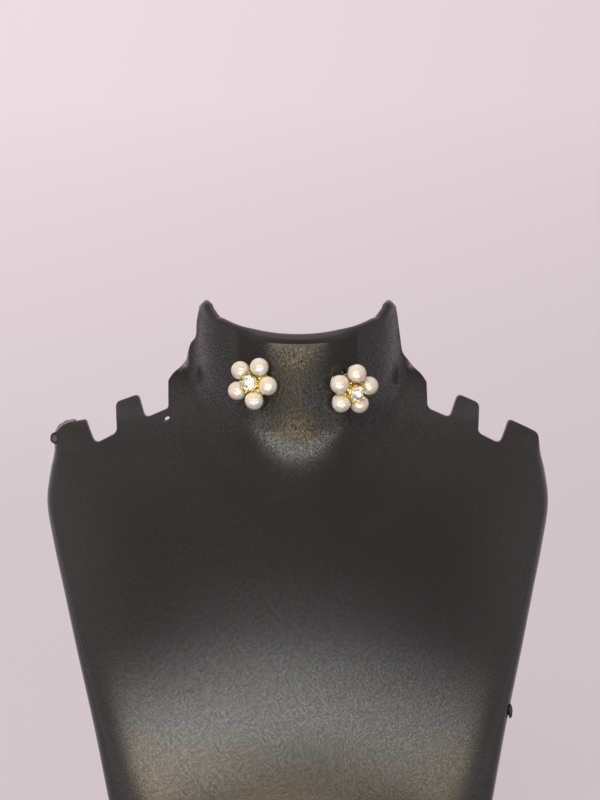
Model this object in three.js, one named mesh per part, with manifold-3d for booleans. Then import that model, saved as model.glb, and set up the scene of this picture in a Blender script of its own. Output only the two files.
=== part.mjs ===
// Pair of pearl cluster stud earrings, worn by a black plastic neck bust display stand.
// Millimetres, +Z up, +X to the right of someone facing the bust, whose front faces -Y.
import * as THREE from "three";
import { mergeVertices } from "three/addons/utils/BufferGeometryUtils.js";
import Module from "manifold-3d";

const wasm = await Module();
wasm.setup();

// ---- Driving dimensions ----

// The bust is one moulded sheet. Its front is a depth over each place across and up.
const WALL = 2.2;
// The front of the neck at the height of the studs, measured from the middle of the stand.
const NECK_FRONT_Y = 6;
const NECK_HEIGHT = 174;
// Sections of the chest and shoulders, from the floor up. Depths are measured back from the neck's front.
const SECTIONS = [
  // up, half_width, middle_depth, edge_depth, edge_roll
  [0, 47.2, -58.8, -44.0, 3.5],
  [25, 53.4, -54.0, -36.5, 3.5],
  [45, 58.5, -48.3, -29.5, 3.5],
  [67, 64.2, -40.3, -20.5, 3.5],
  [90, 71.1, -30.6, -9.5, 3.5],
  [107, 76.3, -23.0, 0.0, 3.5],
  [120, 80.4, -17.0, 7.8, 3.5],
  [134, 83.8, -10.1, 16.5, 3.2],
  [143, 83.2, -5.0, 21.4, 2.8],
  [150, 82.3, 0.0, 24.8, 2.3],
  [154.5, 83.0, 3.8, 26.6, 1.8],
  [158, 80.6, 7.0, 27.6, 1.6],
  [164, 66.5, 13.2, 28.2, 1.5],
  [168, 58.0, 18.0, 28.5, 1.4],
  [172, 48.5, 22.5, 28.6, 1.2],
  [175, 44.2, 25.2, 28.7, 1.0],
  [179, 40.6, 27.4, 28.8, 0.8],
  [183, 38.6, 28.6, 28.8, 0.7],
  [190, 36.8, 29.5, 29.0, 0.6],
  [200, 35.5, 30.0, 29.0, 0.6],
];
// The sheet leans to the right below its widest place, by this much at its foot.
const FOOT_DRIFT = 1.4;
const WIDEST_HEIGHT = 134;
const [UP, HALF_WIDTH, MIDDLE_DEPTH, EDGE_DEPTH, EDGE_ROLL] = [0, 1, 2, 3, 4];
// A section bends from round to straight as this goes from 2 to 1. Its ellipse is a little wider than
// the chest, and only this share of it is used.
const SECTION_ROUNDNESS = 1.25;
const SECTION_SPREAD = 1.03;
const SECTION_END = 0.995;
// The rolled edge ends this share of its radius before it would turn straight back.
const ROLL_END = 0.04;
// The neck is a leaning elliptic tube, blended into the chest.
const NECK_HALF_WIDTH = 35.5;
const NECK_DEPTH = 36;
const NECK_LEAN = Math.tan(THREE.MathUtils.degToRad(4));
const NECK_ROUND_SHARE = 0.93;
const THROAT_BLEND = 8;
// The neck comes forward by a little where it starts to flare into the throat, and its front rolls
// back below the rim.
const FLARE = { from: 151, to: 165, reach: 0.65 };
const RIM_ROLL = { from: 175.5, rate: 0.0041 };
// The rim of the neck rises with its depth, and once more at its two ends.
const RIM_FRONT_HEIGHT = 185.1;
const RIM_SLOPE = 0.36;
const RIM_STEEPENING = 0.0042;
const RIM_END = { from: 28, to: 32.5, rise: 1.5 };
// The rim ends this far inside the last point of the neck's side.
const RIM_INSET = 0.9;
const RIM_ROUNDS = 12;
// The lip turned in along the rim, as [rise, reach inwards] from the front surface's end.
const LIP_PROFILE = [
  [1.4, 0.6],
  [3.1, 2.6],
  [3.2, 4.3],
  [1.2, 4.2],
];
const EDGE_BULGE = 0.3;
// The most by which the wall is thickened where it is cut at a slant.
const CUT_STRETCH = 1.4;

// The top outline from each side to the neck: two teeth and two chain notches. The left side keeps
// the flash of its mould along the outer tooth and the neck.
const SHOULDER_START_HEIGHT = 143;
const SHOULDER_CORNERS = {
  // across, up, corner_radius
  left: [
    [82.4, 148.0, 0],
    [82.6, 154.9, 1.8],
    [78.4, 158.0, 3.0],
    [71.6, 159.4, 1.1],
    [67.4, 151.9, 2.4],
    [59.7, 155.9, 2.6],
    [61.6, 165.0, 1.6],
    [54.2, 167.6, 1.6],
    [50.9, 160.4, 2.2],
    [43.0, 163.7, 1.4],
    [44.0, 172.4, 0.8],
  ],
  right: [
    [82.0, 148.0, 0],
    [81.2, 154.8, 2.4],
    [76.8, 157.0, 1.0],
    [71.4, 159.5, 1.3],
    [67.3, 151.9, 2.4],
    [59.5, 155.9, 2.6],
    [61.5, 164.7, 1.8],
    [54.5, 167.7, 1.8],
    [50.8, 160.5, 2.2],
    [43.2, 163.7, 2.4],
    [43.8, 171.9, 0.8],
  ],
};
// The side of the neck above each shoulder, up to the tip of its rim.
const NECK_SIDES = {
  // across, up
  left: [
    [42.2, 174.8],
    [39.6, 177.0],
    [37.9, 179.2],
    [37.3, 182.0],
    [36.3, 185.0],
    [34.5, 187.4],
    [34.1, 192.2],
    [33.4, 196.2],
  ],
  right: [
    [41.9, 174.5],
    [39.2, 177.0],
    [37.3, 179.6],
    [35.7, 181.8],
    [35.1, 184.2],
    [34.6, 187.8],
    [33.9, 192.4],
    [33.4, 196.2],
  ],
};
// Lumps of flash on the side edges, whose middles lie this share of the way out.
const FLASH_SHARE = 0.985;
const FLASH_LUMPS = [
  // across, up, half_width, half_height
  [-82.6, 151.9, 1.4, 1.3],
  [65.8, 72.0, 0.7, 2.4],
];
const FLASH_DEPTH = 1.2;
const RIM_STEPS = 9;
const CORNER_STEPS = 2;
const BODY_HEIGHTS = [0, 34, 67, 97, 120, 134, SHOULDER_START_HEIGHT];
const SHOULDER_RISES = [0.28, 0.52, 0.72, 0.87, 0.96, 1];
// How far the columns under the shoulder spread evenly instead of standing under their ends.
const COLUMN_SPREAD = 0.3;
// The columns' feet stop this far inside the side edge.
const COLUMN_INSET = 0.05;
// The distances on both sides of a place over which the surface's slope and the chest's widening are read.
const SLOPE_STEP = 0.02;
const WIDENING_STEP = 0.05;

// A small slanted slot beside the left inner notch.
const SLOT = { across: -43.3, up: 160.6, length: 1.8, width: 0.9, tilt: 25 };
// Long enough for the tools of the post holes and the slot to run right through the wall.
const POST_HOLE_RUN = 12;
const SLOT_RUN = 40;

const LEG_WIDTH = 22;
const LEG_THICK = 3.2;
// The strap's level thickness over its square one.
const LEG_SLANT = 1.15;
const LEG_FOOT_BACK = 46.8;
const LEG_PAD_HEIGHTS = [112, 126];
const SEAT_GAP = 0.45;

// One stud, along its own axis: the pearls' centres lie in the plane at 0, the front is up.
const PEARL_RADIUS = 3;
const PEARL_COUNT = 5;
const PEARL_RING = 5.6;
const PLATE_TOP = -3.3;
const PLATE_THICK = 0.6;
const PLATE_LOBE_RADIUS = 1.5;
const PLATE_HUB_RADIUS = 4.6;
// How far the cup, the prongs and the post are sunk into the plate that they are soldered to.
const SOLDER_DEPTH = 0.2;
// The centre cup's section, as [radius, height], from its foot on the plate to its floor.
const CUP_PROFILE = [
  [0, PLATE_TOP - SOLDER_DEPTH],
  [2.0, PLATE_TOP - SOLDER_DEPTH],
  [2.2, 0.8],
  [2.6, 2.6],
  [2.15, 2.6],
  [1.6, 1.0],
  [0, 1.0],
];
const CLAW_COUNT = 8;
const CLAW_RADIUS = 0.27;
const CLAW_CURVE = [
  [2.4, 0, 1.9],
  [2.78, 0, 2.9],
  [2.7, 0, 3.6],
  [2.25, 0, 3.95],
];
const PRONG_RADIUS = 0.26;
const PRONG_CURVE = [
  [3.05, 0, PLATE_TOP - SOLDER_DEPTH],
  [3.05, 0, 0],
  [3.4, 0, 1.3],
];
const STONE_RADIUS = 2.2;
const STONE_GIRDLE_HEIGHT = 3.0;
const STONE_TABLE_SHARE = 0.55;
const STONE_CROWN = 0.75;
const STONE_GIRDLE = 0.12;
const STONE_PAVILION = 1.5;
const STONE_SIDES = 12;
const POST_RADIUS = 0.45;
const POST_LENGTH = 11;
const POST_OFFSET = 2.6;
const POST_HOLE_RADIUS = 1.1;
const NUT_RADIUS = 2.5;
const NUT_LENGTH = 3.4;
const NUT_BORE_RADIUS = 0.8;

// Where each post goes through the neck, which way the stud faces and how far it stands off.
const STUDS = {
  left: { across: -12.8, up: 175.9, turn: -21, tip: 4, spin: -8, stand_off: 4.9, nut_gap: 0.6 },
  right: { across: 14.9, up: 176.1, turn: 25, tip: -17, spin: 13.6, stand_off: 7.7, nut_gap: 1.5 },
};

const PLASTIC = { color: 0x2b292b, roughness: 0.5, metalness: 0 };
const GOLD = { color: 0xd9a73e, roughness: 0.25, metalness: 1 };
const PEARL = { color: 0xefe3da, roughness: 0.25, metalness: 0 };
const CRYSTAL = { color: 0xf4f6f8, roughness: 0.05, metalness: 0 };

// ---- Helpers ----

// Degrees to radians.
const rad = THREE.MathUtils.degToRad;

// Three.js geometry with its shared vertices merged, as a manifold solid.
function solidOf(geometry) {
  const bare = geometry.clone();
  bare.deleteAttribute("normal");
  bare.deleteAttribute("uv");
  const merged = mergeVertices(bare, 1e-4);
  return new wasm.Manifold(
    new wasm.Mesh({
      numProp: 3,
      vertProperties: new Float32Array(merged.attributes.position.array),
      triVerts: new Uint32Array(merged.index.array),
    }),
  );
}

// A manifold solid as three.js geometry.
function geometryOf(solid) {
  const { vertProperties, triVerts } = solid.getMesh();
  return new THREE.BufferGeometry()
    .setAttribute("position", new THREE.BufferAttribute(vertProperties, 3))
    .setIndex(new THREE.BufferAttribute(triVerts, 1));
}

function joined(geometries) {
  return geometryOf(geometries.map(solidOf).reduce((all, next) => all.add(next)));
}

function namedMesh(name, geometry, look) {
  const mesh = new THREE.Mesh(geometry, new THREE.MeshStandardMaterial(look));
  mesh.name = name;
  return mesh;
}

// A smooth curve through one column of the sections, read at any height.
function section(column, up) {
  const last = SECTIONS.length - 1;
  const z = THREE.MathUtils.clamp(up, SECTIONS[0][UP], SECTIONS[last][UP]);
  const i = Math.min(Math.max(SECTIONS.findIndex((row) => row[UP] > z) - 1, 0), last - 1);
  const k = z >= SECTIONS[last][UP] ? last - 1 : i;
  const step = (j) => SECTIONS[j + 1][UP] - SECTIONS[j][UP];
  const rise = (j) => (SECTIONS[j + 1][column] - SECTIONS[j][column]) / step(j);
  const slope = (j) => {
    if (j === 0) return rise(0);
    if (j === last) return rise(last - 1);
    return (rise(j - 1) * step(j) + rise(j) * step(j - 1)) / (step(j - 1) + step(j));
  };
  const h = step(k);
  const t = (z - SECTIONS[k][UP]) / h;
  return (
    (2 * t ** 3 - 3 * t ** 2 + 1) * SECTIONS[k][column] +
    (t ** 3 - 2 * t ** 2 + t) * h * slope(k) +
    (3 * t ** 2 - 2 * t ** 3) * SECTIONS[k + 1][column] +
    (t ** 3 - t ** 2) * h * slope(k + 1)
  );
}

// ---- The bust's front surface ----

// How far back a round section has turned, as a share of its depth. Past NECK_ROUND_SHARE it runs straight.
function roundTurn(share) {
  const r = Math.min(share, NECK_ROUND_SHARE);
  const slope = NECK_ROUND_SHARE / Math.sqrt(1 - NECK_ROUND_SHARE ** 2);
  return 1 - Math.sqrt(1 - r * r) + slope * Math.max(share - NECK_ROUND_SHARE, 0);
}

// The extra depth of the rolled edge, at a distance inside the outline.
function edgeTurn(inside, radius) {
  const least = ROLL_END * radius;
  const d = THREE.MathUtils.clamp(inside, least, radius);
  const slope = (radius - least) / Math.sqrt(radius ** 2 - (radius - least) ** 2);
  return radius - Math.sqrt(radius ** 2 - (radius - d) ** 2) + slope * Math.max(least - inside, 0);
}

// Depth of the front surface behind the neck's front, at a place across and up.
function frontDepth(across, up) {
  const x = Math.abs(across);
  const halfWidth = section(HALF_WIDTH, up);
  const middle = section(MIDDLE_DEPTH, up);
  const share = Math.min(x / (halfWidth * SECTION_SPREAD), SECTION_END);
  const turn = 1 - (1 - share ** 2) ** (1 / SECTION_ROUNDNESS);
  const chest = middle + (section(EDGE_DEPTH, up) - middle) * turn;
  const neckShare = x / NECK_HALF_WIDTH;
  const flare = FLARE.reach * (1 - THREE.MathUtils.smoothstep(up, FLARE.from, FLARE.to));
  const roll = RIM_ROLL.rate * Math.max(up - RIM_ROLL.from, 0) ** 2 * Math.max(1 - neckShare ** 2, 0) ** 2;
  const neck = (up - NECK_HEIGHT) * NECK_LEAN + NECK_DEPTH * roundTurn(neckShare) - flare + roll;
  const near = Math.max(THROAT_BLEND - Math.abs(neck - chest), 0) / THROAT_BLEND;
  const blended = Math.min(neck, chest) - (near * near * THROAT_BLEND) / 4;
  const widening = section(HALF_WIDTH, up + WIDENING_STEP) - section(HALF_WIDTH, up - WIDENING_STEP);
  const inside = (halfWidth - x) / Math.hypot(1, widening / (2 * WIDENING_STEP));
  return blended + edgeTurn(inside, section(EDGE_ROLL, up));
}

function frontPoint(across, up) {
  const drift = FOOT_DRIFT * Math.max(1 - up / WIDEST_HEIGHT, 0);
  return new THREE.Vector3(across + drift, NECK_FRONT_Y + frontDepth(across, up), up);
}

// The outward direction of the front surface.
function frontNormal(across, up) {
  const h = SLOPE_STEP;
  const acrossSlope = (frontDepth(across + h, up) - frontDepth(across - h, up)) / (2 * h);
  const upSlope = (frontDepth(across, up + h) - frontDepth(across, up - h)) / (2 * h);
  return new THREE.Vector3(acrossSlope, -1, upSlope).normalize();
}

// The back surface lies level with the front one, one wall thickness in. Where the wall is cut by
// a straight tool, as round the notches, it lies straight behind instead.
function backPoint(across, up, straight) {
  const n = frontNormal(across, up);
  const step = WALL / Math.hypot(n.x, n.y) ** 2;
  const square = new THREE.Vector3(-n.x * step, -n.y * step, 0);
  const behind = new THREE.Vector3(0, WALL * Math.min(1 / -n.y, CUT_STRETCH), 0);
  return frontPoint(across, up).add(square.lerp(behind, straight));
}

// Height of the neck's rim over a place across.
function rimHeight(across) {
  let up = RIM_FRONT_HEIGHT;
  for (let i = 0; i < RIM_ROUNDS; i += 1) {
    const depth = frontDepth(across, up);
    up = RIM_FRONT_HEIGHT + RIM_SLOPE * depth + RIM_STEEPENING * depth ** 2;
  }
  return up + RIM_END.rise * THREE.MathUtils.smoothstep(across, RIM_END.from, RIM_END.to);
}

// The top outline of one half, from the side to the middle of the neck, as [across, up].
function halfOutline(side) {
  const corners = SHOULDER_CORNERS[side];
  const neckSide = NECK_SIDES[side];
  const path = new THREE.Path();
  const corner = (i) => new THREE.Vector2(corners[i][0], corners[i][1]);
  path.moveTo(...corner(0));
  for (let i = 1; i < corners.length; i += 1) {
    const here = corner(i);
    const after = i + 1 < corners.length ? corner(i + 1) : new THREE.Vector2(...neckSide[0]);
    const inward = corner(i - 1).sub(here).normalize();
    const onward = after.sub(here).normalize();
    const half = Math.acos(inward.dot(onward)) / 2;
    const reach = corners[i][2] / Math.tan(half);
    const start = here.clone().addScaledVector(inward, reach);
    const end = here.clone().addScaledVector(onward, reach);
    path.lineTo(start.x, start.y);
    path.quadraticCurveTo(here.x, here.y, end.x, end.y);
  }
  const shoulder = path.getPoints(CORNER_STEPS).map((p) => [p.x, p.y]);
  const last = neckSide[neckSide.length - 1];
  const rim = [];
  for (let i = 0; i <= RIM_STEPS; i += 1) {
    const across = (last[0] - RIM_INSET) * Math.cos((Math.PI / 2) * (i / RIM_STEPS));
    rim.push([across, rimHeight(across)]);
  }
  return [...shoulder, ...neckSide, ...rim];
}

// One column for each outline point: its foot at the shoulder's start, its end on the outline,
// the share of the lip that its edge has, and how far its wall is cut straight.
function halfColumns(side) {
  const outline = halfOutline(side);
  const along = [0];
  for (let i = 1; i < outline.length; i += 1) {
    const [a, b] = [outline[i - 1], outline[i]];
    along.push(along[i - 1] + Math.hypot(b[0] - a[0], b[1] - a[1]));
  }
  const total = along[along.length - 1];
  const width = section(HALF_WIDTH, SHOULDER_START_HEIGHT) - COLUMN_INSET;
  const rimStart = outline.length - RIM_STEPS - 2;
  const neckStart = rimStart - NECK_SIDES[side].length + 2;
  const under = (1 - COLUMN_SPREAD) * (width / outline[0][0]);
  const spread = COLUMN_SPREAD * width;
  return outline.map(([across, up], i) => ({
    foot: under * across + spread * (1 - along[i] / total),
    across,
    up,
    lip: THREE.MathUtils.clamp((i - rimStart + 1) / 2, 0, 1),
    cut: THREE.MathUtils.clamp(Math.min(i / 3, (neckStart - i) / 2), 0, 1),
  }));
}

function columns() {
  const left = halfColumns("left").map((c) => ({ ...c, foot: -c.foot, across: -c.across }));
  return [...left, ...halfColumns("right").slice(0, -1).reverse()];
}

// ---- The bust's solid ----

function shellGrid(cols, pointAt) {
  const startWidth = section(HALF_WIDTH, SHOULDER_START_HEIGHT);
  const body = BODY_HEIGHTS.map((up) => {
    const width = section(HALF_WIDTH, up);
    return cols.map((c) => pointAt((c.foot / startWidth) * width, up, 0));
  });
  const shoulder = SHOULDER_RISES.map((v) =>
    cols.map((c) =>
      pointAt(
        THREE.MathUtils.lerp(c.foot, c.across, v),
        THREE.MathUtils.lerp(SHOULDER_START_HEIGHT, c.up, v),
        c.cut * v * v,
      ),
    ),
  );
  return [...body, ...shoulder];
}

// Which way the sheet would go on past its top edge, seen along the surface.
function edgeDirection(cols, i) {
  const before = cols[Math.max(i - 1, 0)];
  const after = cols[Math.min(i + 1, cols.length - 1)];
  const out = new THREE.Vector2(-(after.up - before.up), after.across - before.across).normalize();
  const n = frontNormal(cols[i].across, cols[i].up);
  return new THREE.Vector3(out.x, (n.x * out.x + n.z * out.y) / -n.y, out.y).normalize();
}

// The edge between the front and back surfaces at one place: a slight bulge, or the neck's lip.
function edgePoints(front, back, out, lip) {
  const inward = back.clone().sub(front);
  const thick = inward.length();
  inward.normalize();
  return LIP_PROFILE.map(([rise, reach], k) => {
    const share = (k + 1) / (LIP_PROFILE.length + 1);
    const up = THREE.MathUtils.lerp(EDGE_BULGE * Math.sin(Math.PI * share), rise, lip);
    const inside = THREE.MathUtils.lerp(share * thick, reach, lip);
    return front.clone().addScaledVector(out, up).addScaledVector(inward, inside);
  });
}

function bustSheet() {
  const cols = columns();
  const front = shellGrid(cols, frontPoint);
  const back = shellGrid(cols, backPoint);
  const positions = [];
  const faces = [];
  const add = (p) => positions.push(p) - 1;
  const frontIds = front.map((row) => row.map(add));
  const backIds = back.map((row) => row.map(add));
  const quad = (a, b, c, d) => faces.push([a, b, c], [a, c, d]);
  const rows = front.length;
  const last = cols.length - 1;
  for (let r = 0; r + 1 < rows; r += 1) {
    for (let c = 0; c < last; c += 1) {
      quad(frontIds[r][c], frontIds[r][c + 1], frontIds[r + 1][c + 1], frontIds[r + 1][c]);
      quad(backIds[r][c], backIds[r + 1][c], backIds[r + 1][c + 1], backIds[r][c + 1]);
    }
  }
  // The edge runs up the left side, over the top outline and down the right side.
  const loop = [];
  for (let r = 0; r < rows - 1; r += 1) loop.push([r, 0]);
  for (let c = 0; c <= last; c += 1) loop.push([rows - 1, c]);
  for (let r = rows - 2; r >= 0; r -= 1) loop.push([r, last]);
  const rings = loop.map(([r, c]) => {
    const onTop = r === rows - 1;
    const out = onTop ? edgeDirection(cols, c) : new THREE.Vector3(0, 1, 0);
    const middle = edgePoints(front[r][c], back[r][c], out, onTop ? cols[c].lip : 0).map(add);
    return [frontIds[r][c], ...middle, backIds[r][c]];
  });
  for (let i = 0; i + 1 < rings.length; i += 1) {
    for (let k = 0; k + 1 < rings[i].length; k += 1) {
      quad(rings[i][k], rings[i + 1][k], rings[i + 1][k + 1], rings[i][k + 1]);
    }
  }
  // The foot is flat: the sheet's own section, and a cap at each rolled side.
  for (let c = 0; c < last; c += 1) {
    quad(frontIds[0][c], backIds[0][c], backIds[0][c + 1], frontIds[0][c + 1]);
  }
  const start = rings[0];
  const end = rings[rings.length - 1];
  for (let k = 1; k + 1 < start.length; k += 1) {
    faces.push([start[0], start[k], start[k + 1]], [end[0], end[k + 1], end[k]]);
  }
  const geometry = new THREE.BufferGeometry().setFromPoints(positions);
  geometry.setIndex(faces.flat());
  return geometry;
}

// A stud's frame: its own Z faces the viewer, its origin is the middle of the pearls.
function studFrame({ across, up, turn, tip, stand_off }) {
  const facing = new THREE.Quaternion()
    .setFromAxisAngle(new THREE.Vector3(0, 0, 1), rad(turn))
    .multiply(new THREE.Quaternion().setFromAxisAngle(new THREE.Vector3(1, 0, 0), rad(90 - tip)));
  const start = new THREE.Vector3(0, -POST_OFFSET, stand_off).applyQuaternion(facing);
  return { facing, origin: frontPoint(across, up).add(start) };
}

function bustShell() {
  const cutters = Object.values(STUDS).map((stud) => {
    const { facing, origin } = studFrame(stud);
    const hole = new THREE.CylinderGeometry(POST_HOLE_RADIUS, POST_HOLE_RADIUS, POST_HOLE_RUN, 12);
    hole.rotateX(rad(90)).translate(0, POST_OFFSET, -stud.stand_off);
    return hole.applyQuaternion(facing).translate(origin.x, origin.y, origin.z);
  });
  const slot = new THREE.CapsuleGeometry(SLOT.width / 2, SLOT.length - SLOT.width, 2, 8);
  slot.rotateZ(rad(90)).scale(1, 1, SLOT_RUN).rotateX(rad(90)).rotateY(rad(-SLOT.tilt));
  slot.translate(SLOT.across, NECK_FRONT_Y + frontDepth(SLOT.across, SLOT.up), SLOT.up);
  const lumps = FLASH_LUMPS.map(([across, up, wide, high]) => {
    const lump = new THREE.IcosahedronGeometry(1, 1).scale(wide, FLASH_DEPTH, high);
    const edge = frontPoint(across, up);
    return lump.translate(edge.x, NECK_FRONT_Y + frontDepth(across * FLASH_SHARE, up) + FLASH_DEPTH, up);
  });
  const whole = [bustSheet(), ...lumps].map(solidOf).reduce((all, next) => all.add(next));
  const cut = [...cutters, slot].map(solidOf).reduce((all, next) => all.subtract(next), whole);
  return geometryOf(cut);
}

// ---- The prop leg ----

function propLeg() {
  const [low, high] = LEG_PAD_HEIGHTS;
  const behind = (up) => {
    const middle = backPoint(0, up, 0).y;
    const side = backPoint(LEG_WIDTH / 2, up, 0).y;
    return Math.max(middle, side) + SEAT_GAP;
  };
  const foot = NECK_FRONT_Y + LEG_FOOT_BACK;
  const legEdge = (share, offset) => [
    THREE.MathUtils.lerp(foot, behind(high) + LEG_THICK, share) - offset,
    THREE.MathUtils.lerp(0, high, share),
  ];
  const profile = new THREE.Shape(
    [
      legEdge(0, LEG_THICK * LEG_SLANT),
      legEdge(0, 0),
      legEdge(1, 0),
      [behind(high), high],
      [behind(low), low],
      [behind(low) + LEG_THICK, low],
      legEdge(low / high, LEG_THICK * LEG_SLANT),
    ].map((p) => new THREE.Vector2(...p)),
  );
  const leg = new THREE.ExtrudeGeometry(profile, { depth: LEG_WIDTH, bevelEnabled: false });
  leg.translate(0, 0, -LEG_WIDTH / 2);
  // The profile is drawn as (back, up): turn it so that back is +Y and up is +Z.
  leg.applyMatrix4(new THREE.Matrix4().set(0, 0, 1, 0, 1, 0, 0, 0, 0, 1, 0, 0, 0, 0, 0, 1));
  return leg;
}

// ---- The pieces of one stud, in the stud's own frame ----

function pearl(angle) {
  const ball = new THREE.IcosahedronGeometry(PEARL_RADIUS, 2);
  return ball.translate(PEARL_RING * Math.cos(angle), PEARL_RING * Math.sin(angle), 0);
}

// A round brilliant: a flat table, a sloping crown, a girdle and a pointed pavilion.
function stone() {
  const low = STONE_GIRDLE_HEIGHT - STONE_GIRDLE;
  const high = STONE_GIRDLE_HEIGHT + STONE_GIRDLE;
  const profile = [
    [0, low - STONE_PAVILION],
    [STONE_RADIUS, low],
    [STONE_RADIUS, high],
    [STONE_RADIUS * STONE_TABLE_SHARE, high + STONE_CROWN],
    [0, high + STONE_CROWN],
  ];
  return turned(profile, STONE_SIDES);
}

// A solid of revolution about the stud's own Z from [radius, height] points.
function turned(profile, sides) {
  const lathe = new THREE.LatheGeometry(
    profile.map(([radius, height]) => new THREE.Vector2(radius, height)),
    sides,
  );
  return lathe.rotateX(rad(90));
}

function wire(points, radius, sides, steps) {
  const outline = new THREE.Shape();
  outline.absarc(0, 0, radius, 0, 2 * Math.PI);
  const section = new THREE.Shape(outline.getSpacedPoints(sides).slice(0, sides));
  const path = new THREE.CatmullRomCurve3(points.map((p) => new THREE.Vector3(...p)));
  return new THREE.ExtrudeGeometry(section, { steps, extrudePath: path, bevelEnabled: false });
}

function disc(radius, low, high, sides) {
  const cylinder = new THREE.CylinderGeometry(radius, radius, high - low, sides);
  return cylinder.rotateX(rad(90)).translate(0, 0, (low + high) / 2);
}

function setting(spin) {
  const plateLow = PLATE_TOP - PLATE_THICK;
  const pieces = [disc(PLATE_HUB_RADIUS, plateLow, PLATE_TOP, 16)];
  for (let i = 0; i < PEARL_COUNT; i += 1) {
    const angle = spin + (2 * Math.PI * i) / PEARL_COUNT;
    const lobe = disc(PLATE_LOBE_RADIUS, plateLow, PLATE_TOP, 10);
    pieces.push(lobe.translate(PEARL_RING * Math.cos(angle), PEARL_RING * Math.sin(angle), 0));
  }
  pieces.push(turned(CUP_PROFILE, 16));
  for (let i = 0; i < CLAW_COUNT; i += 1) {
    const claw = wire(CLAW_CURVE, CLAW_RADIUS, 6, 4);
    pieces.push(claw.rotateZ(spin + (2 * Math.PI * i) / CLAW_COUNT));
  }
  for (let i = 0; i < PEARL_COUNT; i += 1) {
    const prong = wire(PRONG_CURVE, PRONG_RADIUS, 6, 3);
    pieces.push(prong.rotateZ(spin + (2 * Math.PI * (i + 0.5)) / PEARL_COUNT));
  }
  const post = disc(POST_RADIUS, plateLow - POST_LENGTH, plateLow + SOLDER_DEPTH, 10);
  pieces.push(post.translate(0, POST_OFFSET, 0));
  return joined(pieces);
}

function earNut(depth) {
  const profile = [
    [NUT_BORE_RADIUS, 0],
    [NUT_BORE_RADIUS, -NUT_LENGTH],
    [NUT_RADIUS * 0.6, -NUT_LENGTH],
    [NUT_RADIUS * 0.7, -NUT_LENGTH * 0.35],
    [NUT_RADIUS, -NUT_LENGTH * 0.25],
    [NUT_RADIUS, 0],
    [NUT_BORE_RADIUS, 0],
  ];
  return turned(profile, 16).translate(0, POST_OFFSET, -depth);
}

// ---- Assembly ----

const stand = new THREE.Group();
stand.add(namedMesh("bust_shell", bustShell(), PLASTIC));
stand.add(namedMesh("prop_leg", propLeg(), PLASTIC));

for (const [side, stud] of Object.entries(STUDS)) {
  const { facing, origin } = studFrame(stud);
  const group = new THREE.Group();
  group.quaternion.copy(facing);
  group.position.copy(origin);
  const spin = rad(stud.spin);
  for (let i = 0; i < PEARL_COUNT; i += 1) {
    const angle = spin + (2 * Math.PI * i) / PEARL_COUNT;
    group.add(namedMesh(`pearl_${side}_${i + 1}`, pearl(angle), PEARL));
  }
  group.add(namedMesh(`stone_${side}`, stone(), CRYSTAL));
  group.add(namedMesh(`setting_${side}`, setting(spin), GOLD));
  group.add(namedMesh(`ear_nut_${side}`, earNut(stud.stand_off + WALL + stud.nut_gap), GOLD));
  stand.add(group);
}

export default stand;
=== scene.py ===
"""A pair of pearl cluster stud earrings worn by a black plastic neck bust, dressed for Blender.

Shapes are worked out in millimetres in the row's frame: +Z up, +X to the right of someone facing
the bust, whose front faces -Y. They turn into metres when their meshes are made.
"""

import math

import bmesh
import bpy
import numpy as np
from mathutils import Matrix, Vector


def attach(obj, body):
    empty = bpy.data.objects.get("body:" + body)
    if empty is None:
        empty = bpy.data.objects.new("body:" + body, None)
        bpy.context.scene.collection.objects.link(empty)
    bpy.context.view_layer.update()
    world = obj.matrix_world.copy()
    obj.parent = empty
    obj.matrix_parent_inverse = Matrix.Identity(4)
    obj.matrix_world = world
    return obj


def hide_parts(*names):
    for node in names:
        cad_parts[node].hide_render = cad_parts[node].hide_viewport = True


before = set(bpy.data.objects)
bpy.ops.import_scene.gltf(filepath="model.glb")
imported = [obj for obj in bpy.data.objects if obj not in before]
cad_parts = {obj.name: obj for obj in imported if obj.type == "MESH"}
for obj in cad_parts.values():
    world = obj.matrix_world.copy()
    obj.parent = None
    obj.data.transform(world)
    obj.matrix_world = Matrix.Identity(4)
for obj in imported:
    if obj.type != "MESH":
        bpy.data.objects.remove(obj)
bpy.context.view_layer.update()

MM = 0.001

# ---- The bust's dimensions, the same as the solids' unless a comment says otherwise ----

WALL = 2.2
NECK_FRONT_Y = 6.0
NECK_HEIGHT = 174.0
# Sections of the chest and shoulders, from the floor up, with depths behind the neck's front.
SECTIONS = np.array([
    # up, half_width, middle_depth, edge_depth, edge_roll
    [0, 47.2, -58.8, -44.0, 3.5],
    [25, 53.4, -54.0, -36.5, 3.5],
    [45, 58.5, -48.3, -29.5, 3.5],
    [67, 64.2, -40.3, -20.5, 3.5],
    [90, 71.1, -30.6, -9.5, 3.5],
    [107, 76.3, -23.0, 0.0, 3.5],
    [120, 80.4, -17.0, 7.8, 3.5],
    [134, 83.8, -10.1, 16.5, 3.2],
    [143, 83.2, -5.0, 21.4, 2.8],
    [150, 82.3, 0.0, 24.8, 2.3],
    [154.5, 83.0, 3.8, 26.6, 1.8],
    [158, 80.6, 7.0, 27.6, 1.6],
    [164, 66.5, 13.2, 28.2, 1.5],
    [168, 58.0, 18.0, 28.5, 1.4],
    [172, 48.5, 22.5, 28.6, 1.2],
    [175, 44.2, 25.2, 28.7, 1.0],
    [179, 40.6, 27.4, 28.8, 0.8],
    [183, 38.6, 28.6, 28.8, 0.7],
    [190, 36.8, 29.5, 29.0, 0.6],
    [200, 35.5, 30.0, 29.0, 0.6],
])
UP, HALF_WIDTH, MIDDLE_DEPTH, EDGE_DEPTH, EDGE_ROLL = range(5)
# Each section is part of an ellipse a little wider than the chest, bent from round to straight.
SECTION_ROUNDNESS, SECTION_SPREAD, SECTION_END = 1.25, 1.03, 0.995
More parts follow.
